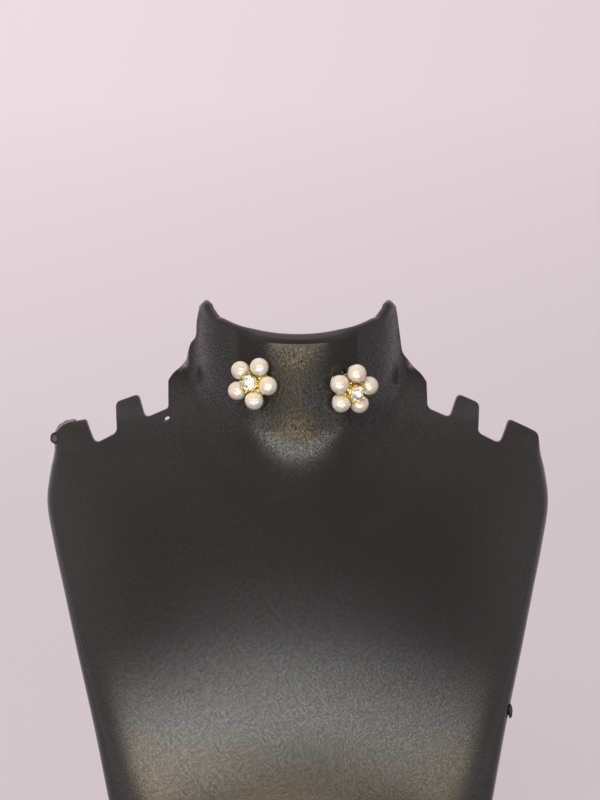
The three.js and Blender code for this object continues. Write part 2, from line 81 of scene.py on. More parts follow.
# The rolled edge ends this share of its radius before it would turn straight back.
ROLL_END = 0.04
# The sheet leans to the right below its widest place, by this much at its foot.
FOOT_DRIFT = 1.4
WIDEST_HEIGHT = 134.0
# The neck is a leaning elliptic tube, blended into the chest.
NECK_HALF_WIDTH = 35.5
NECK_DEPTH = 36.0
NECK_LEAN = math.tan(math.radians(4))
NECK_ROUND_SHARE = 0.93
THROAT_BLEND = 8.0
# The neck comes forward a little where it starts to flare, and its front rolls back below the rim.
FLARE_FROM, FLARE_TO, FLARE_REACH = 151.0, 165.0, 0.65
RIM_ROLL_FROM, RIM_ROLL_RATE = 175.5, 0.0041
# The rim rises with its depth, and once more at its two ends, which lie inside the neck's sides.
RIM_FRONT_HEIGHT = 185.1
RIM_SLOPE = 0.36
RIM_STEEPENING = 0.0042
RIM_END_FROM, RIM_END_TO, RIM_END_RISE = 28.0, 32.5, 1.5
RIM_INSET = 0.9
RIM_ROUNDS = 12
# The lip turned in along the rim, finer than in the solids, as rise and reach inwards. It sets in
# over a run round the horn's tip.
LIP_PROFILE = [
    [0, 0], [0.8, 0.25], [1.9, 1.1], [3.0, 2.5], [3.45, 3.6], [2.8, 4.5], [1.5, 4.3], [0.4, 3.2],
]
LIP_RUN = [-3.9, 0, 1.3]
# Further out than these places across, it turns into a plain rounded edge instead.
HORN_PROFILE = [
    [0, 0], [1.2, 0], [2.3, 0.25], [3.1, 0.9], [3.4, 1.8], [3.1, 2.7], [2.2, 3.0], [0.8, 2.6],
]
HORN_FROM, HORN_TO = 14, 22
EDGE_BULGE = 0.3
# The most by which a slanted cut thickens the wall, and the runs over which the cut sets in.
CUT_STRETCH = 1.4
CUT_RUN_SIDE, CUT_RUN_NECK = 8, 5
SHOULDER_START_HEIGHT = 143.0
# The top outline from each side to the neck: across, up and corner radius.
SHOULDER_CORNERS = {
    "left": [
        (82.4, 148.0, 0), (82.6, 154.9, 1.8), (78.4, 158.0, 3.0), (71.6, 159.4, 1.1),
        (67.4, 151.9, 2.4), (59.7, 155.9, 2.6), (61.6, 165.0, 1.6), (54.2, 167.6, 1.6),
        (50.9, 160.4, 2.2), (43.0, 163.7, 1.4), (44.0, 172.4, 0.8),
    ],
    "right": [
        (82.0, 148.0, 0), (81.2, 154.8, 2.4), (76.8, 157.0, 1.0), (71.4, 159.5, 1.3),
        (67.3, 151.9, 2.4), (59.5, 155.9, 2.6), (61.5, 164.7, 1.8), (54.5, 167.7, 1.8),
        (50.8, 160.5, 2.2), (43.2, 163.7, 2.4), (43.8, 171.9, 0.8),
    ],
}
# The side of the neck above each shoulder, up to the tip of its rim: across and up.
NECK_SIDES = {
    "left": [
        (42.2, 174.8), (39.6, 177.0), (37.9, 179.2), (37.3, 182.0),
        (36.3, 185.0), (34.5, 187.4), (34.1, 192.2), (33.4, 196.2),
    ],
    "right": [
        (41.9, 174.5), (39.2, 177.0), (37.3, 179.6), (35.7, 181.8),
        (35.1, 184.2), (34.6, 187.8), (33.9, 192.4), (33.4, 196.2),
    ],
}
# How far to each side of a place the surface's slope and the chest's widening are read.
SLOPE_STEP, WIDENING_STEP = 0.02, 0.05
# The surface's columns, which only this file has: their feet lie a little nearer the middle than
# their ends, stop inside the side edge and keep a least step.
COLUMN_SHIFT, COLUMN_SHIFT_RUN = 2.5, 12
COLUMN_INSET = 0.05
COLUMN_STEP = 0.15
# Points on each corner, on the neck's side and on the rim, and the spacing of the columns' ends.
CORNER_STEPS, NECK_SIDE_STEPS, RIM_STEPS = 7, 40, 60
COLUMN_SPACING, LEAST_SPACING = 1.3, 0.2
# The closer columns round the horn's tip, and how widely it is smoothed and blended in.
TIP_REACH, TIP_STEPS = 4, 27
TIP_SMOOTHING, TIP_BLEND = 1.2, 2.6
# Rows up to the shoulders' start, above it, where they draw closer, and round the edge.
BODY_STEPS, SHOULDER_STEPS, EDGE_STEPS = 44, 25, 11
RISE_POWER = 1.35
# Grain is full on the neck, and fades to a plain share of itself below and beside it.
PLAIN_GRAIN = 0.5
GRAIN_UP_FROM, GRAIN_UP_TO = 130, 160
GRAIN_OUT_FROM, GRAIN_OUT_TO = 38, 55
# Edges stay sharp from this many degrees on, and a normal counts as whole from this length on.
SHARP_ANGLE, WHOLE_NORMAL = 50, 0.999

# Lumps of flash on the side edges. The left one is 1 mm higher and fuller than in the solids.
FLASH_SHARE = 0.985
FLASH_LUMPS = [
    # across, up, half_width, half_height
    (-82.1, 153.0, 1.7, 2.0),
    (65.8, 72.0, 0.7, 2.4),
]
FLASH_DEPTH = 1.2
# The strip of flash over the left shoulder's corner, which only this file has: across and up.
FLASH_STRIP = [(-81.8, 154.9), (-80.9, 156.3), (-79.1, 157.7), (-77.0, 158.6), (-74.8, 159.2)]
STRIP_HALF_WIDTH, STRIP_HALF_DEPTH, STRIP_SET_BACK = 0.8, 0.35, 0.9

SLOT_ACROSS, SLOT_UP, SLOT_LENGTH, SLOT_WIDTH, SLOT_TILT = -43.3, 160.6, 1.8, 0.9, 25.0
POST_HOLE_RADIUS = 1.1
# How far the tools of the holes and the slot reach to each side of the front surface.
POST_HOLE_REACH, SLOT_REACH = 6, 12

LEG_HALF_WIDTH = 11.0
LEG_THICK = 3.2
# The strap's level thickness over its square one.
LEG_SLANT = 1.15
LEG_FOOT_BACK = 46.8
LEG_PAD_LOW, LEG_PAD_HIGH = 112.0, 126.0
LEG_EASE = 0.5
SEAT_GAP = 0.45

# ---- One stud's dimensions, along its own axis: the pearls' centres lie at 0, the front is up ----

PEARL_RADIUS = 3.0
PEARL_COUNT = 5
PEARL_RING = 5.6
PLATE_TOP = -3.3
PLATE_THICK = 0.6
PLATE_BOTTOM = PLATE_TOP - PLATE_THICK
PLATE_LOBE_RADIUS = 1.5
PLATE_HUB_RADIUS = 4.6
# The plate's rounded rims, and the power that blends lobes and hub.
PLATE_EASE, PLATE_EASE_MIDDLE, PLATE_BLEND = 0.18, 0.05, 14
# The cup and the prongs are sunk into the plate down to this level.
SOLDER_LEVEL = PLATE_TOP - 0.2
# Sections and curves as radius and height, finer than the solids'.
CUP_PROFILE = [
    [0, SOLDER_LEVEL], [2.0, SOLDER_LEVEL], [2.05, -2.0], [2.12, -0.5], [2.25, 0.8],
    [2.45, 1.9], [2.6, 2.5], [2.56, 2.62], [2.4, 2.66], [2.26, 2.6], [2.1, 2.2], [1.75, 1.3],
    [1.55, 1.0], [0, 1.0],
]
CLAW_COUNT = 8
CLAW_RADIUS = 0.24
CLAW_CURVE = [[2.38, 1.6], [2.62, 2.2], [2.78, 2.9], [2.7, 3.45], [2.4, 3.85], [2.14, 3.98]]
PRONG_RADIUS = 0.26
PRONG_CURVE = [[3.05, SOLDER_LEVEL], [3.05, -1.5], [3.1, 0], [3.25, 0.8], [3.45, 1.5]]
BEAD_RADIUS = 0.36
POST_RADIUS = 0.45
POST_LENGTH = 11.0
POST_OFFSET = 2.6
# The post's rounded end, its notch for the nut and its soldered foot.
POST_PROFILE = [
    [0, 0], [0.2, 0.05], [0.36, 0.3], [POST_RADIUS, 0.7], [POST_RADIUS, 1.9], [0.36, 2.1],
    [0.36, 2.4], [POST_RADIUS, 2.6], [POST_RADIUS, POST_LENGTH - 0.4], [0.7, POST_LENGTH - 0.1],
    [0.9, POST_LENGTH + 0.1], [0, POST_LENGTH + 0.1],
]
NUT_LENGTH = 3.4
NUT_BORE = 0.8
NUT_PROFILE = [
    [NUT_BORE, -0.05], [NUT_BORE, -NUT_LENGTH + 0.1], [NUT_BORE + 0.1, -NUT_LENGTH],
    [1.4, -NUT_LENGTH], [1.5, -NUT_LENGTH + 0.12], [1.55, -2.6], [1.6, -2.0], [1.75, -1.3],
    [2.1, -0.95], [2.4, -0.78], [2.5, -0.6], [2.5, -0.2], [2.42, -0.05], [2.3, 0],
    [NUT_BORE + 0.05, 0], [NUT_BORE, -0.05],
]
STONE_RADIUS = 2.2
STONE_GIRDLE_HEIGHT = 3.0
# Table, crown, girdle twice, pavilion and point: sides, turn in eighths of a half circle, share of
# the radius and height.
STONE_RINGS = [
    (8, 0, 0.56, 0.86), (8, 1, 0.8, 0.54), (16, 0, 1, 0.12), (16, 0, 1, -0.12),
    (8, 1, 0.42, -1.1), (1, 0, 0, -1.62),
]
# The foil's section, with heights from its own level just below the stone's girdle.
FOIL_DROP = 0.15
FOIL_PROFILE = np.array([
    [0, -1.62], [2.0, -0.2], [2.12, -0.06], [2.06, -0.04], [1.94, -0.17], [0, -1.56],
])
STUDS = {
    "left": dict(across=-12.8, up=175.9, turn=-21, tip=4, spin=-8, stand_off=4.9, nut_gap=0.6),
    "right": dict(across=14.9, up=176.1, turn=25, tip=-17, spin=13.6, stand_off=7.7, nut_gap=1.5),
}

# ---- Camera ----

# It stands in front of the neck, a little above it, and looks down by 5 degrees.
camera = bpy.data.objects.new("camera", bpy.data.cameras.new("camera"))
camera.data.angle = math.radians(33.15)
camera.data.shift_x = 0.0029
camera.location = (0.0, -0.42236, 0.20548)
camera.rotation_euler = (math.radians(85), 0, 0)
bpy.context.collection.objects.link(camera)
bpy.context.scene.camera = camera

# ---- Materials ----


def linear(hex_colour):
    """An sRGB hex colour as linear RGBA."""
    channels = [int(hex_colour[i:i + 2], 16) / 255 for i in (1, 3, 5)]
    return tuple(
        c / 12.92 if c <= 0.04045 else ((c + 0.055) / 1.055) ** 2.4 for c in channels
    ) + (1.0,)


def new_material(name, looks=None):
    """A material with its Principled shader, of which only the inputs named in looks are set."""
    material = bpy.data.materials.new(name)
    material.use_nodes = True
    shader = material.node_tree.nodes["Principled BSDF"]
    for key, value in (looks or {}).items():
        shader.inputs[key].default_value = value
    return material, material.node_tree, shader


def add_node(tree, kind, links=None, inputs=None, **settings):
    """A shader node with its settings, input values and links from other nodes' sockets."""
    node = tree.nodes.new("ShaderNode" + kind)
    for key, value in settings.items():
        setattr(node, key, value)
    for key, value in (inputs or {}).items():
        node.inputs[key].default_value = value
    for key, socket in (links or {}).items():
        tree.links.new(socket, node.inputs[key])
    return node


def add_noise(tree, scale, detail):
    """Noise in the object's own place, of a scale for each metre."""
    place = add_node(tree, "TexCoord").outputs["Object"]
    inputs = {"Scale": scale, "Detail": detail}
    return add_node(tree, "TexNoise", {"Vector": place}, inputs).outputs["Fac"]


def add_tint(tree, shader, share, low, high):
    """A base colour that runs from one hex colour to another with a share."""
    tint = add_node(tree, "Mix", {"Factor": share}, data_type="RGBA")
    first, second = [socket for socket in tint.inputs if socket.type == "RGBA"]
    first.default_value, second.default_value = linear(low), linear(high)
    result = next(socket for socket in tint.outputs if socket.type == "RGBA")
    tree.links.new(result, shader.inputs["Base Color"])


def add_bump(tree, shader, height, strength, distance):
    """A relief from a height's socket, as deep as a distance in metres."""
    inputs = {"Strength": strength, "Distance": distance}
    bump = add_node(tree, "Bump", {"Height": height}, inputs)
    tree.links.new(bump.outputs["Normal"], shader.inputs["Normal"])


def black_plastic():
    """Black polystyrene from an etched mould: a pebbled grain that sparkles, smooth where cut."""
    material, tree, shader = new_material("moulded_black_polystyrene", {
        "Base Color": linear("#2a2b2a"), "Roughness": 0.12, "IOR": 1.55,
    })
    # Pebbles of about 0.25 mm: their tops reflect, and the hollows between them swallow the light.
    depth = add_node(tree, "MapRange", {"Value": add_noise(tree, 4200.0, 0.0)}, {
        "From Min": 0.4, "From Max": 0.6, "To Min": 0.5, "To Max": -0.5,
    })
    mask = add_node(tree, "Attribute", attribute_name="grain").outputs["Fac"]
    factors = {0: depth.outputs["Result"], 1: mask}
    grain = add_node(tree, "Math", factors, operation="MULTIPLY").outputs[0]
    shine = add_node(tree, "Math", {0: grain}, {1: 0.5}, operation="ADD")
    tree.links.new(shine.outputs[0], shader.inputs["Specular IOR Level"])
    add_bump(tree, shader, grain, 1.0, 0.0000085)
    return material


def raw_flash(name, dark, light):
    """Polystyrene flash from the mould's joint: torn and dull, and greyed where it was bent."""
    material, tree, shader = new_material(name, {"Roughness": 0.5, "IOR": 1.55})
    add_tint(tree, shader, add_noise(tree, 900.0, 3.0), dark, light)
    return material


def pearl_coating():
    """Glass bead dipped in pearl essence: creamy white, under a clear skin that mirrors lights."""
    material, tree, shader = new_material("pearl_essence_coating", {
        "Roughness": 0.3, "IOR": 1.55, "Subsurface Weight": 0.15,
        "Subsurface Radius": (0.001, 0.0008, 0.0006), "Subsurface Scale": 0.5,
        "Coat Weight": 1.0, "Coat IOR": 2.4, "Coat Roughness": 0.08,
    })
    add_tint(tree, shader, add_noise(tree, 260.0, 2.0), "#e3dfc4", "#e3dccb")
    return material


def gold_plate():
    """Polished gold plate on brass: warm yellow, with the faint ripple of cast metal."""
    material, tree, shader = new_material("polished_gold_plate", {
        "Base Color": linear("#ffeba4"), "Metallic": 1.0, "Roughness": 0.27,
    })
    add_bump(tree, shader, add_noise(tree, 900.0, 1.0), 0.25, 0.0001)
    return material


def cut_crystal():
    """Cut lead crystal with flat polished facets, clear and sparkling."""
    return new_material("cut_lead_crystal", {
        "Base Color": linear("#ffffff"), "Roughness": 0.0, "IOR": 1.6, "Transmission Weight": 1.0,
    })[0]


def silver_foil():
    """Silver foil fired onto the back of the crystal, which throws the light back through it."""
    return new_material("silver_foil_backing", {
        "Base Color": linear("#ffffff"), "Metallic": 1.0, "Roughness": 0.3,
    })[0]


BLACK_PLASTIC = black_plastic()
BENT_FLASH = raw_flash("scuffed_polystyrene_flash", "#3a3634", "#8d867d")
TORN_FLASH = raw_flash("torn_polystyrene_flash", "#1c1b1a", "#2b2927")
PEARL_COATING = pearl_coating()
GOLD_PLATE = gold_plate()
CUT_CRYSTAL = cut_crystal()
SILVER_FOIL = silver_foil()

# ---- Meshes ----


def make_mesh(name, points, faces, material, smooth=True):
    """An object from points in millimetres and a list of face arrays, its place kept in its mesh.
    Points that fall together, as at a pole, are welded into one."""
    mesh = bpy.data.meshes.new(name)
    corners = [face for group in faces for face in group.tolist()]
    mesh.from_pydata((points * MM).tolist(), [], corners)
    welded = bmesh.new()
    welded.from_mesh(mesh)
    bmesh.ops.remove_doubles(welded, verts=welded.verts, dist=0.0002 * MM)
    welded.to_mesh(mesh)
    welded.free()
    mesh.polygons.foreach_set("use_smooth", np.full(len(mesh.polygons), smooth))
    mesh.materials.append(material)
    mesh.update()
    obj = bpy.data.objects.new(name, mesh)
    bpy.context.collection.objects.link(obj)
    return obj


def columns(*values):
    """Values brought to one shape and laid side by side along a new last axis."""
    return np.stack(np.broadcast_arrays(*values), axis=-1)


def round_angles(count):
    """Angles spread evenly round a circle."""
    return np.arange(count) * (2 * np.pi / count)


def set_values(obj, name, kind, field, values):
    """Keeps a value for each point of a mesh under a name that shaders can read."""
    attribute = obj.data.attributes.new(name, kind, "POINT")
    attribute.data.foreach_set(field, np.ravel(values))


def grid_faces(ids, closed=False):
    """Quads over a 2-D array of vertex numbers, which may close along its second axis."""
    nxt = np.roll(ids, -1, axis=1) if closed else ids[:, 1:]
    now = ids if closed else ids[:, :-1]
    return columns(now[:-1], nxt[:-1], nxt[1:], now[1:]).reshape(-1, 4)


def grid(points, closed=False):
    """The points and quads of a grid of points."""
    ids = np.arange(points.shape[0] * points.shape[1]).reshape(points.shape[:2])
    return points.reshape(-1, 3), [grid_faces(ids, closed)]


def join_parts(parts):
    """Several (points, faces) pairs as one."""
    points, faces, start = [], [], 0
    for part_points, part_faces in parts:
        points.append(part_points)
        faces += [group + start for group in part_faces]
        start += len(part_points)
    return np.concatenate(points), faces


def turned(profile, sides):
    """A profile of (radius, height) points turned about Z."""
    profile = np.asarray(profile, float)
    radius, height, angle = profile[:, :1], profile[:, 1:], round_angles(sides)
    points = columns(radius * np.cos(angle), radius * np.sin(angle), height)
    return grid(points, closed=True)


def half_circle(rows):
    """Half a circle of (radius, height) points, one in radius, from below to above."""
    angle = np.linspace(0, np.pi, rows)
    return columns(np.sin(angle), -np.cos(angle))


def extruded(outline, low, high):
    """An outline of (across, up) points run from one depth to another, closed by its two faces."""
    near = columns(outline[:, 0], low, outline[:, 1])
    far = near + [0, high - low, 0]
    ids = np.arange(2 * len(outline)).reshape(2, -1)
    sides = grid_faces(ids, closed=True)[:, ::-1]
    return np.concatenate([near, far]), [sides, ids[:1], ids[1:, ::-1]]


def rotation_z(angle):
    """The matrix of a turn about Z."""
    c, s = math.cos(angle), math.sin(angle)
    return np.array([[c, -s, 0], [s, c, 0], [0, 0, 1]])


def unit(vectors):
    """Vectors along the last axis, made one long."""
    return vectors / np.linalg.norm(vectors, axis=-1, keepdims=True)


def run_length(points):
    """The length of a line of points up to each of them."""
    steps = np.linalg.norm(np.diff(points, axis=0), axis=1)
    return np.concatenate([[0], np.cumsum(steps)])


def smooth_curve(points, count):
    """A Catmull-Rom curve through points, read at evenly spaced parameters."""
    p = np.asarray(points, float)
    padded = np.concatenate([[2 * p[0] - p[1]], p, [2 * p[-1] - p[-2]]])
    at = np.linspace(0, len(p) - 1, count)
    i = np.minimum(at.astype(int), len(p) - 2)
    t = (at - i)[:, None]
    a, b, c, d = padded[i], padded[i + 1], padded[i + 2], padded[i + 3]
    squared, cubed = 2 * a - 5 * b + 4 * c - d, 3 * b - a - 3 * c + d
    return 0.5 * (2 * b + (c - a) * t + squared * t ** 2 + cubed * t ** 3)


def climb(value, low, high):
    """From 0 to 1 between two values, level at both: 3t^2 - 2t^3."""
    t = np.clip((value - low) / (high - low), 0, 1)
    return t * t * (3 - 2 * t)


def fall(value, low, high):
    """From 1 to 0 between two values, level at both."""
    return 1 - climb(value, low, high)


# ---- The bust's front surface, as in the solids ----


def section(column, up):
    """A cubic Hermite curve through one column of the sections, with weighted mean slopes."""
    z, value = SECTIONS[:, UP], SECTIONS[:, column]
    step = np.diff(z)
    rise = np.diff(value) / step
    inner = (rise[:-1] * step[1:] + rise[1:] * step[:-1]) / (step[:-1] + step[1:])
    slope = np.concatenate([[rise[0]], inner, [rise[-1]]])
    up = np.clip(up, z[0], z[-1])
    i = np.clip(np.searchsorted(z, up, side="right") - 1, 0, len(z) - 2)
    h = step[i]
    t = (up - z[i]) / h
    return (
        (2 * t ** 3 - 3 * t ** 2 + 1) * value[i] + (t ** 3 - 2 * t ** 2 + t) * h * slope[i]
        + (3 * t ** 2 - 2 * t ** 3) * value[i + 1] + (t ** 3 - t ** 2) * h * slope[i + 1]
    )


def round_turn(share):
    """How far back a round section has turned, a share of its depth: a circle, then a line."""
    r = np.minimum(share, NECK_ROUND_SHARE)
    slope = NECK_ROUND_SHARE / math.sqrt(1 - NECK_ROUND_SHARE ** 2)
    return 1 - np.sqrt(1 - r * r) + slope * np.maximum(share - NECK_ROUND_SHARE, 0)


def edge_turn(inside, radius):
    """The extra depth of the rolled edge: a quarter circle over a distance inside the outline."""
    least = ROLL_END * radius
    d = np.clip(inside, least, radius)
    slope = (radius - least) / np.sqrt(radius ** 2 - (radius - least) ** 2)
    turn = radius - np.sqrt(radius ** 2 - (radius - d) ** 2)
    return turn + slope * np.maximum(least - inside, 0)


def front_depth(across, up):
    """Depth behind the neck's front: the nearer of chest and neck, blended, and the rolled edge."""
    x = np.abs(across)
    half_width = section(HALF_WIDTH, up)
    middle = section(MIDDLE_DEPTH, up)
    share = np.minimum(x / (half_width * SECTION_SPREAD), SECTION_END)
    turn = 1 - (1 - share ** 2) ** (1 / SECTION_ROUNDNESS)
    chest = middle + (section(EDGE_DEPTH, up) - middle) * turn
    neck_share = x / NECK_HALF_WIDTH
    flare = FLARE_REACH * fall(up, FLARE_FROM, FLARE_TO)
    roll = RIM_ROLL_RATE * np.maximum(up - RIM_ROLL_FROM, 0) ** 2
    roll = roll * np.maximum(1 - neck_share ** 2, 0) ** 2
    neck = (up - NECK_HEIGHT) * NECK_LEAN + NECK_DEPTH * round_turn(neck_share) - flare + roll
    near = np.maximum(THROAT_BLEND - np.abs(neck - chest), 0) / THROAT_BLEND
    blended = np.minimum(neck, chest) - near * near * THROAT_BLEND / 4
    widening = section(HALF_WIDTH, up + WIDENING_STEP) - section(HALF_WIDTH, up - WIDENING_STEP)
    inside = (half_width - x) / np.hypot(1, widening / (2 * WIDENING_STEP))
    return blended + edge_turn(inside, section(EDGE_ROLL, up))


def front_point(across, up):
    """A point of the front surface, with the drift of the whole sheet towards its foot."""
    drift = FOOT_DRIFT * np.maximum(1 - up / WIDEST_HEIGHT, 0)
    return columns(across + drift, NECK_FRONT_Y + front_depth(across, up), up)


def front_normal(across, up):
    """The front surface's outward direction, from the depth on both sides."""
    h = SLOPE_STEP
    across_slope = (front_depth(across + h, up) - front_depth(across - h, up)) / (2 * h)
    up_slope = (front_depth(across, up + h) - front_depth(across, up - h)) / (2 * h)
    return unit(columns(across_slope, -1, up_slope))


def back_point(across, up, straight):
    """The back surface, one wall level behind the front one, or straight behind it where cut."""
    n = front_normal(across, up)
    level = WALL / (n[..., 0] ** 2 + n[..., 1] ** 2)
    square = columns(-n[..., 0] * level, -n[..., 1] * level, 0)
    behind = columns(0, WALL * np.minimum(1 / -n[..., 1], CUT_STRETCH), 0)
    share = np.asarray(straight)[..., None]
    return front_point(across, up) + square * (1 - share) + behind * share


def rim_height(across):
    """Height of the neck's rim: it rises with its own depth, found by repeated substitution."""
    up = np.full_like(across, RIM_FRONT_HEIGHT)
    for _ in range(RIM_ROUNDS):
        depth = front_depth(across, up)
        up = RIM_FRONT_HEIGHT + RIM_SLOPE * depth + RIM_STEEPENING * depth ** 2
    return up + RIM_END_RISE * climb(across, RIM_END_FROM, RIM_END_TO)


# ---- The bust ----


def shoulder_outline(side):
    """The shoulder's teeth and notches: straight runs, with their corners rounded by parabolas."""
    corners = np.array(SHOULDER_CORNERS[side], float)
    places = np.concatenate([corners[:, :2], np.array(NECK_SIDES[side][:1], float)])
    runs = [places[:1]]
    for i in range(1, len(corners)):
        here = places[i]
        inward, onward = unit(places[i - 1] - here), unit(places[i + 1] - here)
        reach = corners[i, 2] / math.tan(math.acos(float(inward @ onward)) / 2)
        t = np.linspace(0, 1, CORNER_STEPS)[:, None]
        start, end = here + inward * reach, here + onward * reach
        runs.append((1 - t) ** 2 * start + 2 * t * (1 - t) * here + t ** 2 * end)
    return np.concatenate(runs)


def half_outline(side):
    """The top outline of one half at its columns, smoothed round the horn's tip. With it go the
    length along it, and that length at the tip and where the neck starts."""
    shoulder, neck = shoulder_outline(side), np.array(NECK_SIDES[side], float)
    neck_curve = smooth_curve(np.concatenate([shoulder[-1:], neck]), NECK_SIDE_STEPS)[1:]
    across = (neck[-1, 0] - RIM_INSET) * np.cos(np.linspace(0, np.pi / 2, RIM_STEPS))
    rim = columns(across, rim_height(across))
    outline = np.concatenate([shoulder, neck_curve, rim])
    along = run_length(outline)
    tip, neck_start = along[len(shoulder) + len(neck_curve) - 1], along[len(shoulder)]
    even = np.linspace(0, along[-1], int(along[-1] / COLUMN_SPACING))
    near_tip = tip + np.linspace(-TIP_REACH, TIP_REACH, TIP_STEPS)
    wanted = np.unique(np.concatenate([along, even, near_tip]).round(3))
    wanted = wanted[np.concatenate([[True], np.diff(wanted) > LEAST_SPACING])]
    dense = columns(*[np.interp(wanted, along, places) for places in outline.T])
    # Each point near the horn's tip moves to the weighted mean of its neighbours.
    weights = np.exp(-0.5 * ((wanted[:, None] - wanted) / TIP_SMOOTHING) ** 2)
    weights = weights * np.gradient(wanted)
    mean = weights @ dense / weights.sum(axis=1, keepdims=True)
    share = np.exp(-((wanted - tip) / TIP_BLEND) ** 2)[:, None]
    return dense * (1 - share) + mean * share, wanted, tip, neck_start


def half_columns(side):
    """Per outline point: its foot at the shoulder's start, place, shares of lip, horn and cut."""
    outline, along, tip, neck_start = half_outline(side)
    width = section(HALF_WIDTH, SHOULDER_START_HEIGHT) - COLUMN_INSET
    shift_places = [0, COLUMN_SHIFT_RUN, tip, along[-1]]
    shift = np.interp(along, shift_places, [0, COLUMN_SHIFT, COLUMN_SHIFT, 0])
    # The feet keep their order where the outline runs upright.
    foot = outline[:, 0] * (width / outline[0, 0]) - shift
    foot = np.minimum.accumulate(foot + COLUMN_STEP * along) - COLUMN_STEP * along
    foot = foot - foot[-1] * along / along[-1]
    lip = np.interp(along - tip, LIP_RUN, [0, 0.5, 1])
    horn = climb(outline[:, 0], HORN_FROM, HORN_TO)
    cut = np.clip(np.minimum(along / CUT_RUN_SIDE, (neck_start - along) / CUT_RUN_NECK), 0, 1)
    return np.stack([foot, outline[:, 0], outline[:, 1], lip, horn, cut])


def outline_outward(across, up):
    """The direction out of the outline along the front surface, at each of its points."""
    tangent = unit(columns(np.gradient(across), np.gradient(up)))
    x, z = -tangent[:, 1], tangent[:, 0]
    n = front_normal(across, up)
    return unit(columns(x, (n[:, 0] * x + n[:, 2] * z) / -n[:, 1], z))


def edge_rings(front, back, out, lip, horn):
    """Points round the edge from front to back: a low bulge, or the lip's or horn's profile."""
    thick = np.linalg.norm(back - front, axis=1, keepdims=True)
    inward = (back - front) / thick
    share = np.arange(1, EDGE_STEPS + 1) / (EDGE_STEPS + 1)
    lip_curve = smooth_curve(LIP_PROFILE, EDGE_STEPS + 1)[1:]
    horn_curve = smooth_curve(HORN_PROFILE, EDGE_STEPS + 1)[1:]
    curve = lip_curve * (1 - horn[:, None, None]) + horn_curve * horn[:, None, None]
    rise = EDGE_BULGE * np.sin(np.pi * share) * (1 - lip) + curve[..., 0] * lip
    reach = share * thick * (1 - lip) + curve[..., 1] * lip
    return front[:, None] + out[:, None] * rise[..., None] + inward[:, None] * reach[..., None]


def bust_sheet():
    """The bust: a front grid and a back grid of columns from the flat foot to the outline, joined
    by rings round their edge. With it go its exact normals and its share of grain."""
    left, right = half_columns("left"), half_columns("right")
    left[:2] *= -1
    foot, across, up, lip, horn, cut = np.concatenate([left, right[:, -2::-1]], axis=1)
    start, start_width = SHOULDER_START_HEIGHT, section(HALF_WIDTH, SHOULDER_START_HEIGHT)
    heights = np.linspace(0, start, BODY_STEPS)[:, None]
    rises = (1 - (1 - np.linspace(0, 1, SHOULDER_STEPS)[1:]) ** RISE_POWER)[:, None]
    low_x = foot * section(HALF_WIDTH, heights) / start_width
    x = np.concatenate([low_x, foot + (across - foot) * rises])
    z = np.concatenate([heights + 0 * foot, start + (up - start) * rises])
    front = front_point(x, z)
    back = back_point(x, z, np.concatenate([0 * low_x, cut * rises ** 2]))
    rows, cols = x.shape
    front_ids = np.arange(rows * cols).reshape(rows, cols)
    back_ids = front_ids + rows * cols
    # The edge runs up the left side, over the top outline and down the right side.
    r = np.concatenate([np.arange(rows - 1), np.full(cols, rows - 1), np.arange(rows - 2, -1, -1)])
    c = np.concatenate([np.zeros(rows - 1, int), np.arange(cols), np.full(rows - 1, cols - 1)])
    on_top = (r == rows - 1)[:, None]
    out = np.where(on_top, outline_outward(across, up)[c], np.array([0.0, 1.0, 0.0]))
    lip_share = np.where(on_top, lip[c][:, None], 0)
    ring = edge_rings(front[r, c], back[r, c], out, lip_share, horn[c])
    ring_ids = 2 * rows * cols + np.arange(len(r) * EDGE_STEPS).reshape(len(r), EDGE_STEPS)
    front_end, back_end = front_ids[r, c][:, None], back_ids[r, c][:, None]
    ring_ids = np.concatenate([front_end, ring_ids, back_end], axis=1)
    faces = [
        grid_faces(front_ids), grid_faces(back_ids)[:, ::-1], grid_faces(ring_ids)[:, ::-1],
        grid_faces(np.stack([back_ids[0], front_ids[0]])), ring_ids[:1], ring_ids[-1:, ::-1],
    ]
    points = np.concatenate([part.reshape(-1, 3) for part in (front, back, ring)])
    normals = front_normal(x, z).reshape(-1, 3)
    known = np.concatenate([normals, -normals, np.zeros((len(r) * EDGE_STEPS, 3))])
    # The grain fades out just before the lip, and is plain on the back.
    fade = np.concatenate([0 * low_x + 1, 1 - lip * (rises == 1)])
    on_neck = climb(z, GRAIN_UP_FROM, GRAIN_UP_TO)
    on_neck = on_neck * fall(np.abs(x), GRAIN_OUT_FROM, GRAIN_OUT_TO)
    fade = fade * (PLAIN_GRAIN + (1 - PLAIN_GRAIN) * on_neck)
    plain, none = np.full(rows * cols, PLAIN_GRAIN), np.zeros(len(r) * EDGE_STEPS)
    return points, faces, known, np.concatenate([fade.ravel(), plain, none])


def lump(across, up, wide, high):
    """An ellipsoid of flash on a side edge."""
    edge = front_point(across, up)
    depth = NECK_FRONT_Y + front_depth(across * FLASH_SHARE, up)
    points, faces = turned(half_circle(rows=13), sides=20)
    return points * [wide, FLASH_DEPTH, high] + [edge[0], depth + FLASH_DEPTH, up], faces


def uneven_lump(*size):
    """A lump of flash dented by ripples, products of sines of its height and its place across."""
    points, faces = lump(*size)
    middle = points.mean(axis=0)
    x, z = points[:, :1], points[:, 2:]
    # Shares of the lump's size, and radians of the waves for each millimetre.
    ripple = 1 + 0.16 * np.sin(5.3 * x) * np.sin(6.1 * z) + 0.08 * np.sin(11 * z)
    return middle + (points - middle) * np.minimum(ripple, 1.0), faces


